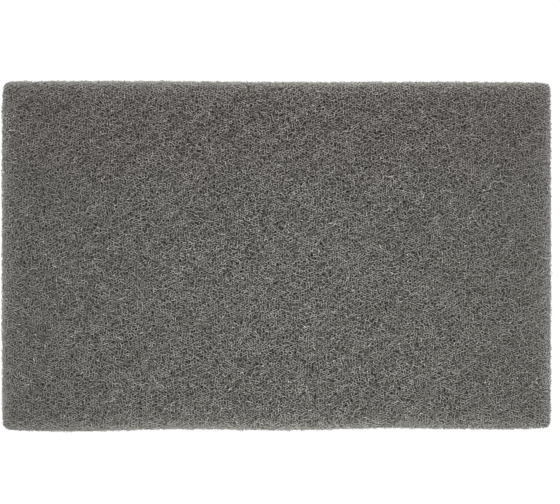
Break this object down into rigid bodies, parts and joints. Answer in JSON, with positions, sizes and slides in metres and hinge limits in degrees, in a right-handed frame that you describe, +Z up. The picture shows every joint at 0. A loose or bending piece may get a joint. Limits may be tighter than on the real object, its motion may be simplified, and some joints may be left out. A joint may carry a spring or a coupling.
{
  "type": "non-woven abrasive pad",
  "caption": "Flat rectangular hand pad of springy, crimped non-woven fibre bonded with resin and fine grit, for scuffing, cleaning and finishing surfaces by hand.",
  "frame": {"origin": "centre of the pad's outline, on its flat underside", "axes": "+X along the pad's length, +Y across its width, +Z up through its thickness"},
  "size_m": [0.2304, 0.1468, 0.0082],
  "materials": {
    "grit_web": "warm grey non-woven nylon web, crimped fibres coated with matt resin and fine grit, with dark open pores"
  },
  "bodies": {
    "root": {"abrasive_pad": "grit_web"}
  },
  "joints": []
}
